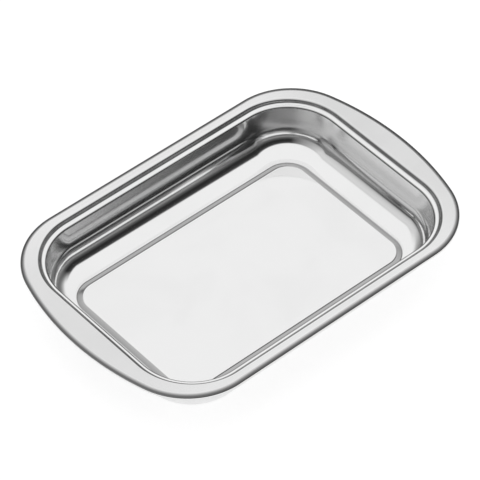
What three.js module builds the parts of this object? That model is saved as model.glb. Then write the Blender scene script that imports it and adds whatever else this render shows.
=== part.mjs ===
// Rectangular cake pan: one sheet of stainless steel drawn into a basin, its rim curled over a wire.
// Millimetres, +Z up. The origin is on the table under the middle of the pan, and +X runs along the pan.

import * as THREE from 'three';

// Sheet and wire stock
const sheet = 0.7;
const wireDiameter = 2;
const wireClearance = 0.3;

// Opening, where the flange turns down into the basin
const openingLength = 330;
const openingWidth = 228;

// Heights
const panHeight = 51.5;
const ledgeDrop = 4.5;
const panelRise = 1.1;

// Step and ledge round the opening, where a cover would rest
const stepLean = THREE.MathUtils.degToRad(12.5);
const ledgeWidth = 5;

// Wall and floor, with the corner radius in plan where the flat floor ends
const wallDraft = THREE.MathUtils.degToRad(2.6);
const floorFillet = 23.9;
const floorCornerRadius = 27.4;

// Flat strip that the pan stands on, and the stiffening panel pressed up inside it
const stripWidth = 1.6;
const bandWidth = 4.9;
const panelCornerRadius = 23.6;

// Press bends, on the tight side of the sheet
const rimBend = 2.1;
const ledgeBend = 2.7;
const lipBend = 1.2;
const panelBend = 4;

// Flat of the flange, out from the opening: narrow along the sides, bowed out at the ends
const sideFlange = 6.7;
const gripFlange = 20.3;
const gripRadius = 264;
const flangeCornerRadius = 68.3;

// Edge of the flange: a gentle shoulder bends it down, then the curl rolls it under. Angles from the flat.
const shoulderRadius = 10;
const shoulderAngle = THREE.MathUtils.degToRad(25);
const curlAngle = THREE.MathUtils.degToRad(300);

// Facets along a quarter of each outline, and across the section
const endSteps = 4;
const cornerSteps = 9;
const sideSteps = 1;
const bendSteps = 3;
const filletSteps = 8;
const shoulderSteps = 2;
const curlSteps = 11;
const wireSides = 10;

// Heights of the upper face of the sheet
const rimTop = panHeight;
const ledgeTop = rimTop - ledgeDrop;
const stripTop = sheet;
const panelTop = stripTop + panelRise;

// How far inside the opening each sharp corner of the section lies
const stepFoot = ledgeDrop * Math.tan(stepLean);
const ledgeLip = stepFoot + ledgeWidth;
const wallFoot = ledgeLip + (ledgeTop - stripTop) * Math.tan(wallDraft);
const floorEdge = wallFoot + floorFillet * Math.tan((Math.PI / 2 - wallDraft) / 2);
const panelFoot = floorEdge + stripWidth;

// The curl is rolled round the wire with room for it, and its centre follows from the shoulder
const curlRadius = wireDiameter / 2 + wireClearance + sheet;
const curlOut = (shoulderRadius - curlRadius) * Math.sin(shoulderAngle);
const curlUp = rimTop - shoulderRadius + (shoulderRadius - curlRadius) * Math.cos(shoulderAngle);
const edgeReach = curlOut + curlRadius;

// Closed outline, counter-clockwise from the +X axis. The ends are straight, or bowed to endRadius.
function outline(length, width, cornerRadius, endRadius) {
  const halfLength = length / 2;
  const halfWidth = width / 2;
  const cornerY = halfWidth - cornerRadius;
  let cornerX = halfLength - cornerRadius;
  let meeting = 0;
  let end = new THREE.LineCurve(
    new THREE.Vector2(halfLength, 0),
    new THREE.Vector2(halfLength, cornerY),
  );
  if (endRadius) {
    const endCentre = halfLength - endRadius;
    const reach = Math.sqrt((endRadius - cornerRadius) ** 2 - cornerY ** 2);
    cornerX = endCentre + reach;
    meeting = Math.atan2(cornerY, reach);
    end = new THREE.EllipseCurve(endCentre, 0, endRadius, endRadius, 0, meeting);
  }
  const corner = new THREE.EllipseCurve(cornerX, cornerY, cornerRadius, cornerRadius, meeting, Math.PI / 2);
  const side = new THREE.LineCurve(
    new THREE.Vector2(cornerX, halfWidth),
    new THREE.Vector2(0, halfWidth),
  );
  const quarter = [
    ...end.getPoints(endSteps).slice(0, -1),
    ...corner.getPoints(cornerSteps).slice(0, -1),
    ...side.getPoints(sideSteps),
  ];
  const outward = quarter.slice(0, -1);
  const back = quarter.slice(1).reverse();
  return [
    ...outward,
    ...back.map((point) => new THREE.Vector2(-point.x, point.y)),
    ...outward.map((point) => new THREE.Vector2(-point.x, -point.y)),
    ...back.map((point) => new THREE.Vector2(point.x, -point.y)),
  ];
}

// The three outlines that the section follows, each grown by a distance outwards
const aroundOpening = (out) => outline(
  openingLength + 2 * out,
  openingWidth + 2 * out,
  floorCornerRadius + floorEdge + out,
);
const aroundPanel = (out) => outline(
  openingLength - 2 * panelFoot + 2 * out,
  openingWidth - 2 * panelFoot + 2 * out,
  panelCornerRadius + out,
);
const aroundFlange = (out) => outline(
  openingLength + 2 * (gripFlange + out),
  openingWidth + 2 * (sideFlange + out),
  flangeCornerRadius - edgeReach + out,
  gripRadius - edgeReach + out,
);

// A ring of points at one height round an outline
const ring = (around, [out, up]) => around(out).map((point) => new THREE.Vector3(point.x, point.y, up));

// Section of a strip of sheet bent at sharp corners, which runs level before the first and after the last.
// Corners lie on the upper face, and depth is how far below that face the section is taken.
function bentSection(corners, depth) {
  const flats = corners.slice(1).map((corner, i) => (
    Math.atan2(corner.up - corners[i].up, corner.out - corners[i].out)
  ));
  const headings = [0, ...flats, 0];
  return corners.flatMap((corner, i) => {
    const turn = headings[i + 1] - headings[i];
    const middle = headings[i] + turn / 2;
    const side = Math.sign(turn);
    const radius = corner.bend + (side > 0 ? depth : sheet - depth);
    const offset = (depth - side * radius) / Math.cos(turn / 2);
    const centreOut = corner.out + offset * Math.sin(middle);
    const centreUp = corner.up - offset * Math.cos(middle);
    return Array.from({ length: corner.steps + 1 }, (_, step) => {
      const heading = headings[i] + (turn * step) / corner.steps;
      return [
        centreOut + side * radius * Math.sin(heading),
        centreUp - side * radius * Math.cos(heading),
      ];
    });
  });
}

// Section of an arc about a centre, from one angle off the flat to another
function arcSection(centreOut, centreUp, radius, from, to, steps) {
  return Array.from({ length: steps + 1 }, (_, step) => {
    const angle = from + ((to - from) * step) / steps;
    return [centreOut + radius * Math.sin(angle), centreUp + radius * Math.cos(angle)];
  });
}

// Section of the flange's edge, out over the shoulder and round under the curl
const edgeSection = (depth) => [
  ...arcSection(0, rimTop - shoulderRadius, shoulderRadius - depth, 0, shoulderAngle, shoulderSteps),
  ...arcSection(curlOut, curlUp, curlRadius - depth, shoulderAngle, curlAngle, curlSteps).slice(1),
];

const panelCorners = [
  { out: -bandWidth, up: panelTop, bend: panelBend, steps: bendSteps },
  { out: 0, up: stripTop, bend: panelBend, steps: bendSteps },
];
const basinCorners = [
  { out: -wallFoot, up: stripTop, bend: floorFillet, steps: filletSteps },
  { out: -ledgeLip, up: ledgeTop, bend: lipBend, steps: bendSteps },
  { out: -stepFoot, up: ledgeTop, bend: ledgeBend, steps: bendSteps },
  { out: 0, up: rimTop, bend: rimBend, steps: bendSteps },
];

// One face of the sheet, as rings from the panel out to the edge of the curl
const sheetFace = (depth) => [
  ...bentSection(panelCorners, depth).map((place) => ring(aroundPanel, place)),
  ...bentSection(basinCorners, depth).map((place) => ring(aroundOpening, place)),
  ...edgeSection(depth).map((place) => ring(aroundFlange, place)),
];

// Faces between rings that follow each other, with the metal on the right of the way they run
function loft(rings) {
  const indices = [];
  const stations = rings[0].length;
  for (let row = 0; row + 1 < rings.length; row += 1) {
    for (let station = 0; station < stations; station += 1) {
      const next = (station + 1) % stations;
      const here = row * stations;
      const there = here + stations;
      indices.push(here + station, there + station, there + next);
      indices.push(here + station, there + next, here + next);
    }
  }
  return indices;
}

function solid(points, indices) {
  const geometry = new THREE.BufferGeometry();
  geometry.setFromPoints(points);
  geometry.setIndex(indices);
  geometry.computeVertexNormals();
  return geometry;
}

// Basin, flange and curl, closed across the middle of the panel on both faces
function panBody() {
  const rings = [...sheetFace(0), ...sheetFace(sheet).reverse()];
  const stations = rings[0].length;
  const points = rings.flat();
  const last = points.length - stations;
  const topCentre = points.push(new THREE.Vector3(0, 0, panelTop)) - 1;
  const underCentre = points.push(new THREE.Vector3(0, 0, panelTop - sheet)) - 1;
  const indices = loft(rings);
  for (let station = 0; station < stations; station += 1) {
    const next = (station + 1) % stations;
    indices.push(topCentre, station, next);
    indices.push(underCentre, last + next, last + station);
  }
  return solid(points, indices);
}

// Wire ring that stiffens the rim, lying inside the curl
function rimWire() {
  const section = arcSection(curlOut, curlUp, wireDiameter / 2, 0, 2 * Math.PI, wireSides).slice(1);
  const rings = section.map((place) => ring(aroundFlange, place));
  const points = rings.flat();
  const indices = loft([...rings, rings[0]]).map((index) => index % points.length);
  return solid(points, indices);
}

const steel = new THREE.MeshStandardMaterial({ color: 0xdcdddd, roughness: 0.22, metalness: 1 });
const wireSteel = new THREE.MeshStandardMaterial({ color: 0xb4b6b8, roughness: 0.4, metalness: 1 });

const cakePan = new THREE.Group();

const body = new THREE.Mesh(panBody(), steel);
body.name = 'pan_body';
cakePan.add(body);

const wire = new THREE.Mesh(rimWire(), wireSteel);
wire.name = 'rim_wire';
cakePan.add(wire);

export default cakePan;
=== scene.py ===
import math

import bpy
from mathutils import Matrix, Vector


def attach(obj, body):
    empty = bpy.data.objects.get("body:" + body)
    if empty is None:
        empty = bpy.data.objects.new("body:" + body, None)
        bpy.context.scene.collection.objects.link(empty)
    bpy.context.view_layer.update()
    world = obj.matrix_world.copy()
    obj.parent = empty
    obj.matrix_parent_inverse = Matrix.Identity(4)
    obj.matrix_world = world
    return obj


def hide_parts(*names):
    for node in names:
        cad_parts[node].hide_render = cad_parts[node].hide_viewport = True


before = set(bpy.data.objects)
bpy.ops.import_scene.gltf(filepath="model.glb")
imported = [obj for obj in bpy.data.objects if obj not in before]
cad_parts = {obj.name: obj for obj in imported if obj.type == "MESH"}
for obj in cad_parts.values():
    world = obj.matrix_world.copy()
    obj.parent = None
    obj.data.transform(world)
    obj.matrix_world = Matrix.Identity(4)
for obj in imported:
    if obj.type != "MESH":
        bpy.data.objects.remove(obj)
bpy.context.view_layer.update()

mm = 0.001

# Pan body: one steel sheet with panel, basin, ledge, flange and curl. Lengths in mm, angles in degrees.
panBody = {
    "name": "pan_shell",
    "node": "pan_body",
    "slot": "pan_steel",
    "sheet": 0.7,
    "height": 51.5,
    "openingLength": 330.0,
    "openingWidth": 228.0,
    "openingCornerRadius": 58.3,
    "ledgeDrop": 4.5,
    "stepLean": 12.5,
    "ledgeWidth": 5.0,
    "wallDraft": 2.6,
    "floorFillet": 23.9,
    "stripWidth": 1.6,         # flat ring that the pan stands on
    "bandWidth": 4.9,          # slope from the strip up to the panel
    "panelRise": 1.1,
    "panelCornerRadius": 23.6,
    "panelRings": 8,
    "rimBend": 2.1,            # bend radii on the tight side of the sheet
    "ledgeBend": 2.7,
    "lipBend": 1.2,
    "panelBend": 4.0,
    "sideFlange": 6.7,         # from the opening to where the shoulder starts
    "gripFlange": 20.3,
    "shoulderRadius": 10.0,    # the edge bends down gently, then curls tightly
    "shoulderAngle": 25.0,
    "gripRadius": 264.0,
    "flangeCornerRadius": 68.3,
    "curlAngle": 300.0,
    "endSteps": 24,            # facets along a quarter of each outline
    "cornerSteps": 40,
    "sideSteps": 24,
    "bendSteps": 8,            # facets across the section
    "filletSteps": 32,
    "shoulderSteps": 10,
    "curlSteps": 44,
    # Share of the painted shade along each bend, a dark tone that stands in for the dark reflections
    # there, from its inner end at 0 to its outer end at 1, fitted to the lines in the photograph. The
    # End lists hold at the pan's two ends.
    "filletShade": [(0, 0.0), (1, 0.0)],
    "panelShade": [(0, 0.0), (0.1, 1.0), (0.9, 1.0), (1, 0.51)],
    "panelEndShade": [(0, 0.0), (0.4, 0.05), (1, 0.5)],
    "stripShade": [(0, 0.51), (0.1, 1.0), (0.9, 1.0), (1, 0.0)],
    "stripEndShade": [(0, 0.64), (0.8, 0.64), (1, 0.4)],
    "lipShade": [(0, 0.0), (0.15, 0.3), (0.3, 0.85), (0.55, 0.85), (0.7, 0.25), (1, 0.0)],
    # Painted shade on the outside walls, darker towards the lip under the flange
    "outsideWallShade": [(0, 0.7), (1, 0.7)],  # outside, where the walls darken towards the lip
    "ledgeShade": [(0, 0.0), (0.45, 0.1), (0.6, 0.4), (1, 0.6)],
    "rimShade": [(0, 0.6), (0.45, 0.55), (0.6, 0.2), (1, 0.0)],
    "rimEndShade": [(0, 0.65), (0.45, 0.6), (0.6, 0.25), (1, 0.11)],
    # The same painted shade along the rolled edge, against the degrees that it has turned down. The roll
    # list carries both lists on.
    "edgeShade": [(0, 0.0), (4, 0.0), (7, 0.15)],
    "edgeEndShade": [(0, 0.11), (4, 0.11), (7, 0.2)],
    "rollShade": [
        (10, 0.4), (13, 0.62), (17, 0.82), (22, 1.0), (37, 1.0), (47, 0.5), (57, 0.0), (70, 0.0),
        (85, 0.25), (130, 0.25), (160, 0.0), (300, 0.0),
    ],
}

# Stiffening wire inside the curl, in mm
rimWire = {
    "name": "wire_ring",
    "node": "rim_wire",
    "slot": "wire_steel",
    "diameter": 2.0,
    "clearance": 0.3,
    "sides": 24,
}

# Heights of the upper face, and how far inside the opening each sharp corner of the section lies
rimTop = panBody["height"]
ledgeTop = rimTop - panBody["ledgeDrop"]
stripTop = panBody["sheet"]
panelTop = stripTop + panBody["panelRise"]
draft = math.radians(panBody["wallDraft"])
stepFoot = panBody["ledgeDrop"] * math.tan(math.radians(panBody["stepLean"]))
ledgeLip = stepFoot + panBody["ledgeWidth"]
wallFoot = ledgeLip + (ledgeTop - stripTop) * math.tan(draft)
floorEdge = wallFoot + panBody["floorFillet"] * math.tan((math.pi / 2 - draft) / 2)
panelFoot = floorEdge + panBody["stripWidth"]
curlRadius = rimWire["diameter"] / 2 + rimWire["clearance"] + panBody["sheet"]
shoulder = math.radians(panBody["shoulderAngle"])
curlInset = panBody["shoulderRadius"] - curlRadius  # between the centres of the shoulder and the curl
curlOut = curlInset * math.sin(shoulder)
curlUp = rimTop - panBody["shoulderRadius"] + curlInset * math.cos(shoulder)
edgeReach = curlOut + curlRadius


# Closed outline as (x, y, normalX, normalY), from the +X end anticlockwise. endRadius bows the ends out.
def outline(length, width, cornerRadius, endRadius=None):
    halfLength = length / 2
    halfWidth = width / 2
    cornerY = halfWidth - cornerRadius
    cornerX = halfLength - cornerRadius
    meeting = 0.0
    endCentre = 0.0
    if endRadius:
        endCentre = halfLength - endRadius
        reach = math.sqrt((endRadius - cornerRadius) ** 2 - cornerY ** 2)
        cornerX = endCentre + reach
        meeting = math.atan2(cornerY, reach)
    quarter = []
    for step in range(panBody["endSteps"]):
        share = step / panBody["endSteps"]
        nx, ny = math.cos(meeting * share), math.sin(meeting * share)
        if endRadius:
            quarter.append((endCentre + endRadius * nx, endRadius * ny, nx, ny))
        else:
            quarter.append((halfLength, cornerY * share, 1.0, 0.0))
    for step in range(panBody["cornerSteps"]):
        angle = meeting + (math.pi / 2 - meeting) * step / panBody["cornerSteps"]
        nx, ny = math.cos(angle), math.sin(angle)
        quarter.append((cornerX + cornerRadius * nx, cornerY + cornerRadius * ny, nx, ny))
    for step in range(panBody["sideSteps"] + 1):
        share = step / panBody["sideSteps"]
        quarter.append((cornerX * (1 - share), halfWidth, 0.0, 1.0))
    outward = quarter[:-1]
    back = quarter[:0:-1]
    return (
        outward
        + [(-x, y, -nx, ny) for x, y, nx, ny in back]
        + [(-x, -y, -nx, -ny) for x, y, nx, ny in outward]
        + [(x, -y, nx, -ny) for x, y, nx, ny in back]
    )


# The three outlines that the section follows, each grown by a distance outwards
def aroundPanel(out):
    length = panBody["openingLength"] + 2 * (out - panelFoot)
    width = panBody["openingWidth"] + 2 * (out - panelFoot)
    return outline(length, width, panBody["panelCornerRadius"] + out)


def aroundOpening(out):
    length = panBody["openingLength"] + 2 * out
    width = panBody["openingWidth"] + 2 * out
    return outline(length, width, panBody["openingCornerRadius"] + out)


def aroundFlange(out):
    return outline(
        panBody["openingLength"] + 2 * (panBody["gripFlange"] + out),
        panBody["openingWidth"] + 2 * (panBody["sideFlange"] + out),
        panBody["flangeCornerRadius"] - edgeReach + out,
        panBody["gripRadius"] - edgeReach + out,
    )


# Amount at a place in a list of (place, amount) pairs
def amountAt(place, pairs):
    for (start, before), (end, after) in zip(pairs, pairs[1:]):
        if place <= end:
            return before + (after - before) * (place - start) / (end - start)
    return pairs[-1][1]


# Section of sheet bent at sharp corners, level before the first and after the last.
# Gives (out, up, heading, painted shade, painted shade at the ends) points at a depth below the upper
# face.
def bentSection(corners, depth):
    headings = [0.0]
    for (outA, upA, *_), (outB, upB, *_) in zip(corners, corners[1:]):
        headings.append(math.atan2(upB - upA, outB - outA))
    headings.append(0.0)
    points = []
    for (out, up, bend, steps, paintedShade, endPaintedShade), before, after in zip(corners, headings, headings[1:]):
        turn = after - before
        side = math.copysign(1.0, turn)
        middle = before + turn / 2
        radius = bend + (depth if side > 0 else panBody["sheet"] - depth)
        offset = (depth - side * radius) / math.cos(turn / 2)
        centreOut = out + offset * math.sin(middle)
        centreUp = up - offset * math.cos(middle)
        for step in range(steps + 1):
            share = step / steps
            heading = before + turn * share
            points.append((
                centreOut + side * radius * math.sin(heading),
                centreUp - side * radius * math.cos(heading),
                heading,
                amountAt(share, paintedShade),
                amountAt(share, endPaintedShade),
            ))
    return points


# Edge of the flange: the shoulder, then the curl
def edgeSection(depth):
    p = panBody
    arcs = []
    for step in range(p["shoulderSteps"]):
        turn = p["shoulderAngle"] * step / p["shoulderSteps"]
        arcs.append((turn, p["shoulderRadius"], 0.0, rimTop - p["shoulderRadius"]))
    for step in range(p["curlSteps"] + 1):
        turn = p["shoulderAngle"] + (p["curlAngle"] - p["shoulderAngle"]) * step / p["curlSteps"]
        arcs.append((turn, curlRadius, curlOut, curlUp))
    points = []
    for turn, radius, centreOut, centreUp in arcs:
        angle = math.radians(turn)
        out = centreOut + (radius - depth) * math.sin(angle)
        up = centreUp + (radius - depth) * math.cos(angle)
        paintedShade = amountAt(turn, p["edgeShade"] + p["rollShade"])
        endPaintedShade = amountAt(turn, p["edgeEndShade"] + p["rollShade"])
        points.append((out, up, -angle, paintedShade, endPaintedShade))
    return points


def panelCorners():
    p = panBody
    steps = p["bendSteps"]
    return [
        (-p["bandWidth"], panelTop, p["panelBend"], steps, p["panelShade"], p["panelEndShade"]),
        (0.0, stripTop, p["panelBend"], steps, p["stripShade"], p["stripEndShade"]),
    ]


def basinCorners(lipShade):
    p = panBody
    steps = p["bendSteps"]
    return [
        (-wallFoot, stripTop, p["floorFillet"], p["filletSteps"], p["filletShade"], p["filletShade"]),
        (-ledgeLip, ledgeTop, p["lipBend"], steps, lipShade, lipShade),
        (-stepFoot, ledgeTop, p["ledgeBend"], steps, p["ledgeShade"], p["ledgeShade"]),
        (0.0, rimTop, p["rimBend"], steps, p["rimShade"], p["rimEndShade"]),
    ]


# A ring of (place, normal, painted shade) round an outline, facing up for the upper face of the sheet
def faceRing(around, section, facing):
    out, up, heading, paintedShade, endPaintedShade = section
    rise = facing * math.cos(heading)
    lean = -facing * math.sin(heading)
    ring = []
    for x, y, nx, ny in around(out):
        amount = paintedShade + (endPaintedShade - paintedShade) * nx * nx
        ring.append((Vector((x, y, up)), Vector((lean * nx, lean * ny, rise)), amount))
    return ring


# One face of the sheet as rings from the middle of the panel to the edge of the curl,
# with the number of the last ring before the flange
def sheetFace(depth):
    facing = 1.0 if depth == 0 else -1.0
    edge = [faceRing(aroundPanel, section, facing) for section in bentSection(panelCorners(), depth)]
    middle = []
    for step in range(1, panBody["panelRings"]):
        share = step / panBody["panelRings"]
        ring = []
        for place, normal, _ in edge[0]:
            ring.append((Vector((place.x * share, place.y * share, place.z)), normal, 0.0))
        middle.append(ring)
    # The upper face takes the lip's painted shade, the under face the painted shade of the outside walls
    corners = basinCorners(panBody["lipShade"] if depth == 0 else panBody["outsideWallShade"])
    basin = [faceRing(aroundOpening, section, facing) for section in bentSection(corners, depth)]
    rim = [faceRing(aroundFlange, section, facing) for section in edgeSection(depth)]
    rings = middle + edge + basin + rim
    return rings, len(middle + edge + basin) - 1


def linkObject(name, mesh):
    obj = bpy.data.objects.new(name, mesh)
    bpy.context.scene.collection.objects.link(obj)
    return obj


# Material numbers on the pan
basinFinish, flangeFinish, outsideFinish = 0, 1, 2


# The sheet's two faces and its cut edge, in one closed mesh
def buildPan():
    upper, flangeStart = sheetFace(0.0)
    under, _ = sheetFace(panBody["sheet"])
    rings = upper + under[::-1]
    stations = len(upper[0])
    places = [place for ring in rings for place, _, _ in ring]
    normals = [normal for ring in rings for _, normal, _ in ring]
    # Painted shade on each vertex: a dark tone along the bends in place of dark reflections
    paintedShade = [amount for ring in rings for _, _, amount in ring] + [0.0, 0.0]
    faces, finishes, loopNormals = [], [], []

    def addFace(corners, finish, cut=False):
        faces.append(corners)
        finishes.append(finish)
        if cut:
            across = places[corners[1]] - places[corners[0]]
            along = places[corners[3]] - places[corners[0]]
            loopNormals.extend([across.cross(along).normalized()] * len(corners))
        else:
            loopNormals.extend([normals[corner] for corner in corners])

    for row in range(len(rings) - 1):
        finish = outsideFinish
        if row < flangeStart:
            finish = basinFinish
        elif row < len(upper):
            finish = flangeFinish
        here, there = row * stations, (row + 1) * stations
        for station in range(stations):
            follow = (station + 1) % stations
            corners = (here + station, there + station, there + follow, here + follow)
            addFace(corners, finish, cut=row == len(upper) - 1)
    topCentre, underCentre = len(places), len(places) + 1
    places += [Vector((0, 0, panelTop)), Vector((0, 0, panelTop - panBody["sheet"]))]
    normals += [Vector((0, 0, 1)), Vector((0, 0, -1))]
    last = (len(rings) - 1) * stations
    for station in range(stations):
        follow = (station + 1) % stations
        addFace((topCentre, station, follow), basinFinish)
        addFace((underCentre, last + follow, last + station), outsideFinish)

    mesh = bpy.data.meshes.new(panBody["name"])
    mesh.from_pydata([place * mm for place in places], [], faces)
    mesh.polygons.foreach_set("use_smooth", [True] * len(faces))
    mesh.polygons.foreach_set("material_index", finishes)
    mesh.normals_split_custom_set(loopNormals)
    mesh.attributes.new("paintedShade", "FLOAT", "POINT").data.foreach_set("value", paintedShade)
    return linkObject(panBody["name"], mesh)


# Wire ring on the curl's centre line
def buildWire():
    reach = rimWire["diameter"] / 2
    tube = []
    for side in range(rimWire["sides"]):
        angle = 2 * math.pi * side / rimWire["sides"]
        up = curlUp + reach * math.cos(angle)
        around = aroundFlange(curlOut + reach * math.sin(angle))
        tube.append([Vector((x, y, up)) * mm for x, y, _, _ in around])
    stations = len(tube[0])
    faces = []
    for side in range(rimWire["sides"]):
        here, there = side * stations, (side + 1) % rimWire["sides"] * stations
        for station in range(stations):
            follow = (station + 1) % stations
            faces.append((here + station, there + station, there + follow, here + follow))
    mesh = bpy.data.meshes.new(rimWire["name"])
    mesh.from_pydata([place for ring in tube for place in ring], [], faces)
    mesh.polygons.foreach_set("use_smooth", [True] * len(faces))
    return linkObject(rimWire["name"], mesh)


pan = buildPan()
wire = buildWire()
print("pan built:", len(pan.data.polygons), "faces")

# Finishes. Roughness runs from the clean metal to the most marked, the dark grey and its roughness hold
# where the painted shade along the bends is full, and drawnRoughness is for the upright walls at the
# ends and corners.
steel = {
    "basin": {
        "bright": 0.96, "dull": 0.93, "roughness": (0.08, 0.11), "grain": 0.25, "bump": 0.004,
        "pressed": 0.08, "pressedRoughness": 0.17, "drawnRoughness": 0.21,
    },
    "flange": {
        "bright": 0.92, "dull": 0.86, "roughness": (0.09, 0.14), "grain": 0.6, "bump": 0.02,
        "pressed": 0.17, "pressedRoughness": 0.38,
    },
    # Painted shade: the outside is the same steel in a darker tone, so that it stands apart from the
    # white table
    "outside": {
        "bright": 0.82, "dull": 0.76, "roughness": (0.12, 0.22), "grain": 0.5, "bump": 0.015,
        "pressed": 0.45, "pressedRoughness": 0.4,
    },
    "wire": {
        "bright": 0.64, "dull": 0.52, "roughness": (0.3, 0.42), "grain": 0.8, "bump": 0.03,
    },
}

# Sheet's rolled lines (depth in mm), wipe marks, and how far the drawn walls' normals may lean
rolled = {"density": 900.0, "length": 6.0, "detail": 3.0, "depth": 0.1}
wiped = {"size": 14.0, "detail": 4.0, "distortion": 0.6, "faint": 0.4, "full": 0.7}
drawnLimits = {"across": 0.4, "upright": 0.3}


def grey(level):
    return (level, level, level, 1)


def newGroup(name, inputs, outputs):
    group = bpy.data.node_groups.new(name, "ShaderNodeTree")
    for socket, default in inputs:
        made = group.interface.new_socket(socket, in_out="INPUT", socket_type="NodeSocketFloat")
        made.default_value = default
    for socket in outputs:
        group.interface.new_socket(socket, in_out="OUTPUT", socket_type="NodeSocketFloat")
    start = group.nodes.new("NodeGroupInput")
    end = group.nodes.new("NodeGroupOutput")
    return group, start, end


# Fine lines of the rolled sheet, all along the pan's length
def rolledGrainGroup():
    inputs = [("Density", rolled["density"]), ("Length", rolled["length"])]
    group, start, end = newGroup("rolledGrain", inputs, ["Grain"])
    nodes, links = group.nodes, group.links
    place = nodes.new("ShaderNodeTexCoord")
    split = nodes.new("ShaderNodeSeparateXYZ")
    links.new(place.outputs["Object"], split.inputs[0])
    join = nodes.new("ShaderNodeCombineXYZ")
    for axis, density in (("X", "Length"), ("Y", "Density"), ("Z", "Density")):
        stretch = nodes.new("ShaderNodeMath")
        stretch.operation = "MULTIPLY"
        links.new(split.outputs[axis], stretch.inputs[0])
        links.new(start.outputs[density], stretch.inputs[1])
        links.new(stretch.outputs[0], join.inputs[axis])
    lines = nodes.new("ShaderNodeTexNoise")
    lines.inputs["Scale"].default_value = 1.0
    lines.inputs["Detail"].default_value = rolled["detail"]
    links.new(join.outputs[0], lines.inputs["Vector"])
    links.new(lines.outputs["Fac"], end.inputs["Grain"])
    return group


# Faint patches where the metal was wiped and handled
def wipeMarksGroup():
    group, start, end = newGroup("wipeMarks", [("Size", wiped["size"])], ["Marks"])
    nodes, links = group.nodes, group.links
    place = nodes.new("ShaderNodeTexCoord")
    patches = nodes.new("ShaderNodeTexNoise")
    patches.inputs["Detail"].default_value = wiped["detail"]
    patches.inputs["Distortion"].default_value = wiped["distortion"]
    links.new(place.outputs["Object"], patches.inputs["Vector"])
    links.new(start.outputs["Size"], patches.inputs["Scale"])
    spread = nodes.new("ShaderNodeMapRange")
    spread.interpolation_type = "SMOOTHSTEP"
    spread.inputs["From Min"].default_value = wiped["faint"]
    spread.inputs["From Max"].default_value = wiped["full"]
    links.new(patches.outputs["Fac"], spread.inputs["Value"])
    links.new(spread.outputs["Result"], end.inputs["Marks"])
    return group


# Mask of the upright walls at the ends and corners, which have a softer gloss
def drawnWallsGroup():
    inputs = [("Across", drawnLimits["across"]), ("Upright", drawnLimits["upright"])]
    group, start, end = newGroup("drawnWalls", inputs, ["Amount"])
    nodes, links = group.nodes, group.links
    place = nodes.new("ShaderNodeTexCoord")
    split = nodes.new("ShaderNodeSeparateXYZ")
    links.new(place.outputs["Normal"], split.inputs[0])
    both = nodes.new("ShaderNodeMath")
    both.operation = "MULTIPLY"
    for number, (axis, limit) in enumerate((("X", "Across"), ("Z", "Upright"))):
        size = nodes.new("ShaderNodeMath")
        size.operation = "ABSOLUTE"
        links.new(split.outputs[axis], size.inputs[0])
        spread = nodes.new("ShaderNodeMapRange")
        spread.interpolation_type = "SMOOTHSTEP"
        links.new(start.outputs[limit], spread.inputs["From Max"])
        links.new(size.outputs[0], spread.inputs["Value"])
        if axis == "Z":
            spread.inputs["To Min"].default_value = 1.0
            spread.inputs["To Max"].default_value = 0.0
        links.new(spread.outputs["Result"], both.inputs[number])
    links.new(both.outputs[0], end.inputs["Amount"])
    return group


rolledGrain = rolledGrainGroup()
wipeMarks = wipeMarksGroup()
drawnWalls = drawnWallsGroup()


# Mix node from a linked value to a fixed one
def mixTo(nodes, links, kind, share, first, last):
    mix = nodes.new("ShaderNodeMix")
    mix.data_type = kind
    mix.inputs["B"].default_value = last
    links.new(share, mix.inputs["Factor"])
    links.new(first, mix.inputs["A"])
    return mix.outputs["Result"]


def steelFinish(name):
    values = steel[name]
    material = bpy.data.materials.new(name + "Steel")
    material.use_nodes = True
    nodes, links = material.node_tree.nodes, material.node_tree.links
    shader = nodes["Principled BSDF"]
    shader.inputs["Metallic"].default_value = 1.0
    grain = nodes.new("ShaderNodeGroup")
    grain.node_tree = rolledGrain
    marks = nodes.new("ShaderNodeGroup")
    marks.node_tree = wipeMarks
    marked = nodes.new("ShaderNodeMix")
    marked.data_type = "FLOAT"
    marked.inputs["Factor"].default_value = values["grain"]
    links.new(marks.outputs["Marks"], marked.inputs["A"])
    links.new(grain.outputs["Grain"], marked.inputs["B"])
    tint = nodes.new("ShaderNodeMix")
    tint.data_type = "RGBA"
    tint.inputs["A"].default_value = grey(values["bright"])
    tint.inputs["B"].default_value = grey(values["dull"])
    links.new(marked.outputs["Result"], tint.inputs["Factor"])
    colour = tint.outputs["Result"]
    gloss = nodes.new("ShaderNodeMapRange")
    gloss.inputs["To Min"].default_value = values["roughness"][0]
    gloss.inputs["To Max"].default_value = values["roughness"][1]
    links.new(marked.outputs["Result"], gloss.inputs["Value"])
    roughness = gloss.outputs["Result"]
    if "drawnRoughness" in values:
        drawn = nodes.new("ShaderNodeGroup")
        drawn.node_tree = drawnWalls
        amount = drawn.outputs["Amount"]
        roughness = mixTo(nodes, links, "FLOAT", amount, roughness, values["drawnRoughness"])
    # Painted shade: the vertex attribute darkens the colour to a dark grey along the bends, in place of
    # dark reflections, and roughens it
    if "pressed" in values:
        paintedShade = nodes.new("ShaderNodeAttribute")
        paintedShade.attribute_name = "paintedShade"
        amount = paintedShade.outputs["Fac"]
        colour = mixTo(nodes, links, "RGBA", amount, colour, grey(values["pressed"]))
        roughness = mixTo(nodes, links, "FLOAT", amount, roughness, values["pressedRoughness"])
    links.new(colour, shader.inputs["Base Color"])
    links.new(roughness, shader.inputs["Roughness"])
    bump = nodes.new("ShaderNodeBump")
    bump.inputs["Strength"].default_value = values["bump"]
    bump.inputs["Distance"].default_value = rolled["depth"] * mm
    links.new(grain.outputs["Grain"], bump.inputs["Height"])
    links.new(bump.outputs["Normal"], shader.inputs["Normal"])
    return material


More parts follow.
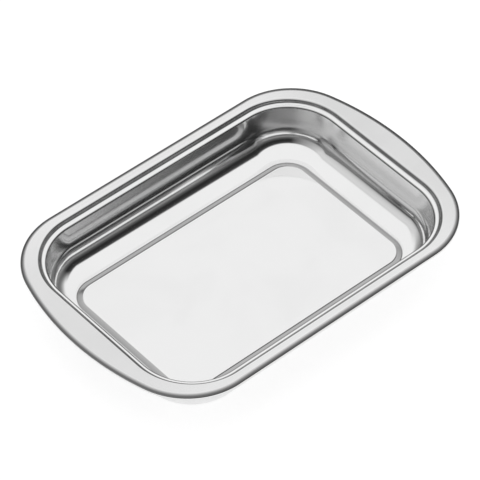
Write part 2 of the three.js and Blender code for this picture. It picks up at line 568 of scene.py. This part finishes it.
for name in ("basin", "flange", "outside"):
    pan.data.materials.append(steelFinish(name))
wire.data.materials.append(steelFinish("wire"))
print("finishes set")

for piece, sizes in ((pan, panBody), (wire, rimWire)):
    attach(piece, "root")
    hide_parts(sizes["node"])

# White table and white tent. Metal shows them too, and the table keeps the pan's shadow.
studio = {
    "tableRadius": 30.0,       # metres
    "tableSides": 72,
    "tableColour": 0.45,
    "tableGlow": 0.7,
    "tentStrength": 0.89,
}


# 1 for camera, glossy and transmission rays, 0 for the rest
def seenRay(nodes, links):
    path = nodes.new("ShaderNodeLightPath")
    first = nodes.new("ShaderNodeMath")
    first.operation = "MAXIMUM"
    links.new(path.outputs["Is Camera Ray"], first.inputs[0])
    links.new(path.outputs["Is Glossy Ray"], first.inputs[1])
    second = nodes.new("ShaderNodeMath")
    second.operation = "MAXIMUM"
    links.new(first.outputs[0], second.inputs[0])
    links.new(path.outputs["Is Transmission Ray"], second.inputs[1])
    return second.outputs[0]


def buildTable():
    reach = studio["tableRadius"]
    ring = []
    for side in range(studio["tableSides"]):
        angle = 2 * math.pi * side / studio["tableSides"]
        ring.append((reach * math.cos(angle), reach * math.sin(angle), 0))
    mesh = bpy.data.meshes.new("table")
    mesh.from_pydata(ring, [], [range(len(ring))])
    table = linkObject("table", mesh)
    material = bpy.data.materials.new("whiteTable")
    material.use_nodes = True
    nodes, links = material.node_tree.nodes, material.node_tree.links
    nodes.clear()
    diffuse = nodes.new("ShaderNodeBsdfDiffuse")
    diffuse.inputs["Color"].default_value = grey(studio["tableColour"])
    glow = nodes.new("ShaderNodeEmission")
    glow.inputs["Color"].default_value = grey(1)
    level = nodes.new("ShaderNodeMath")
    level.operation = "MULTIPLY"
    links.new(seenRay(nodes, links), level.inputs[0])
    level.inputs[1].default_value = studio["tableGlow"]
    links.new(level.outputs[0], glow.inputs["Strength"])
    both = nodes.new("ShaderNodeAddShader")
    links.new(diffuse.outputs[0], both.inputs[0])
    links.new(glow.outputs[0], both.inputs[1])
    output = nodes.new("ShaderNodeOutputMaterial")
    links.new(both.outputs[0], output.inputs["Surface"])
    mesh.materials.append(material)


def buildTent():
    world = bpy.data.worlds.new("whiteTent")
    bpy.context.scene.world = world
    world.use_nodes = True
    background = world.node_tree.nodes["Background"]
    background.inputs["Color"].default_value = grey(1)
    background.inputs["Strength"].default_value = studio["tentStrength"]


# Graded studio walls, which only the metal sees: (elevation in degrees, brightness) from the table up.
# The shares say how much of a wall shows at (degrees clockwise from the left wall's middle, from above).
walls = {
    "name": "studioWalls",
    "distance": 2.4,           # metres
    "top": 54.0,
    "leftMiddle": -75.0,
    "left": [
        (0, 0.04), (10, 0.05), (13, 0.14), (15.5, 0.42), (20, 0.62),
        (28, 0.72), (36, 0.77), (41, 0.7), (44, 0.85), (46.5, 1.0),
    ],
    "far": [(0, 0.12), (6, 0.14), (15, 0.17), (23, 0.25), (30, 0.5), (36, 0.9), (39, 1.0)],
    "corner": [(0, 0.1), (20, 0.12), (30, 0.18), (36, 0.4), (39, 0.8), (41, 1.0)],
    "right": [
        (0, 0.35), (11, 0.29), (16, 0.14), (22, 0.07), (28, 0.02),
        (34, 0.03), (39, 0.05), (42, 0.07), (43.5, 0.3), (45, 0.8), (46.5, 1.0),
    ],
    "farShare": [(40, 0), (80, 1), (190, 1), (216, 0)],
    "cornerShare": [(112, 0), (122, 1), (136, 1), (146, 0)],
    "rightShare": [(0, 0.2), (12, 0), (172, 0), (202, 1), (300, 1), (325, 0.6), (360, 0.2)],
    "rows": 27,
    "columns": 90,
}


# Grey ramp over a value that runs from 0 to 1, as the places of the stops run from 0 to reach
def greyRamp(nodes, links, value, stops, reach):
    ramp = nodes.new("ShaderNodeValToRGB")
    elements = ramp.color_ramp.elements
    while len(elements) < len(stops):
        elements.new(0.5)
    for element, (place, level) in zip(elements, stops):
        element.position = place / reach
        element.color = grey(level)
    links.new(value, ramp.inputs["Fac"])
    return ramp.outputs["Color"]


def blend(nodes, links, share, first, second):
    mix = nodes.new("ShaderNodeMix")
    mix.data_type = "RGBA"
    links.new(share, mix.inputs["Factor"])
    links.new(first, mix.inputs["A"])
    links.new(second, mix.inputs["B"])
    return mix.outputs["Result"]


def wallLight():
    material = bpy.data.materials.new(walls["name"])
    material.use_nodes = True
    nodes, links = material.node_tree.nodes, material.node_tree.links
    nodes.clear()
    spread = nodes.new("ShaderNodeTexCoord")
    parts = nodes.new("ShaderNodeSeparateXYZ")
    links.new(spread.outputs["UV"], parts.inputs[0])
    around, up = parts.outputs["X"], parts.outputs["Y"]
    level = greyRamp(nodes, links, up, walls["left"], walls["top"])
    for wall in ("far", "corner", "right"):
        tone = greyRamp(nodes, links, up, walls[wall], walls["top"])
        share = greyRamp(nodes, links, around, walls[wall + "Share"], 360)
        level = blend(nodes, links, share, level, tone)
    light = nodes.new("ShaderNodeEmission")
    links.new(level, light.inputs["Color"])
    light.inputs["Strength"].default_value = studio["tentStrength"]
    output = nodes.new("ShaderNodeOutputMaterial")
    links.new(light.outputs[0], output.inputs["Surface"])
    return material


def buildWalls():
    across = walls["columns"] + 1
    places, faces = [], []
    for row in range(walls["rows"] + 1):
        elevation = math.radians(walls["top"] * row / walls["rows"])
        for column in range(across):
            azimuth = math.radians(walls["leftMiddle"] + 360 * column / walls["columns"])
            places.append(walls["distance"] * Vector((
                math.sin(azimuth) * math.cos(elevation),
                math.cos(azimuth) * math.cos(elevation),
                math.sin(elevation),
            )))
    for row in range(walls["rows"]):
        for column in range(walls["columns"]):
            here = row * across + column
            faces.append((here, here + 1, here + across + 1, here + across))
    mesh = bpy.data.meshes.new(walls["name"])
    mesh.from_pydata(places, [], faces)
    uv = mesh.uv_layers.new(name="spread")
    for loop in mesh.loops:
        row, column = divmod(loop.vertex_index, across)
        uv.data[loop.index].uv = (column / walls["columns"], row / walls["rows"])
    mesh.materials.append(wallLight())
    ring = linkObject(walls["name"], mesh)
    ring.visible_camera = False
    ring.visible_diffuse = False
    ring.visible_shadow = False


buildTable()
buildTent()
buildWalls()
print("studio built")

# Camera, from the fit of the pan's edges in the photograph. Degrees, mm.
photoView = {
    "azimuth": -42.86,
    "elevation": 46.532,
    "roll": 1.688,
    "distance": 2742.1,
    "aim": (-1.73, -4.59),     # from the middle of the rim, across and up the image
    "focalLength": 236.2,
    "sensor": 36.0,
    "clipEnd": 100.0,          # metres
}


# Right and up in the image for a viewing direction
def imageAxes(forward, roll):
    level = forward.cross(Vector((0, 0, 1))).normalized()
    upright = level.cross(forward)
    across = level * math.cos(roll) + upright * math.sin(roll)
    return across, across.cross(forward)


def buildCamera():
    azimuth, elevation, roll = (math.radians(photoView[key]) for key in ("azimuth", "elevation", "roll"))
    back = Vector((
        math.sin(azimuth) * math.cos(elevation),
        -math.cos(azimuth) * math.cos(elevation),
        math.sin(elevation),
    ))
    rimMiddle = Vector((0, 0, rimTop))
    place = rimMiddle + back * photoView["distance"]
    across, upward = imageAxes(-back, roll)
    aim = rimMiddle + across * photoView["aim"][0] + upward * photoView["aim"][1]
    forward = (aim - place).normalized()
    across, upward = imageAxes(forward, roll)
    camera = bpy.data.cameras.new("photoCamera")
    camera.lens = photoView["focalLength"]
    camera.sensor_width = photoView["sensor"]
    camera.clip_end = photoView["clipEnd"]
    holder = linkObject("photoCamera", camera)
    turn = Matrix((across, upward, -forward)).transposed()
    holder.matrix_world = Matrix.Translation(place * mm) @ turn.to_4x4()
    bpy.context.scene.camera = holder


buildCamera()
bpy.context.scene.view_settings.view_transform = "Standard"
print("camera set")
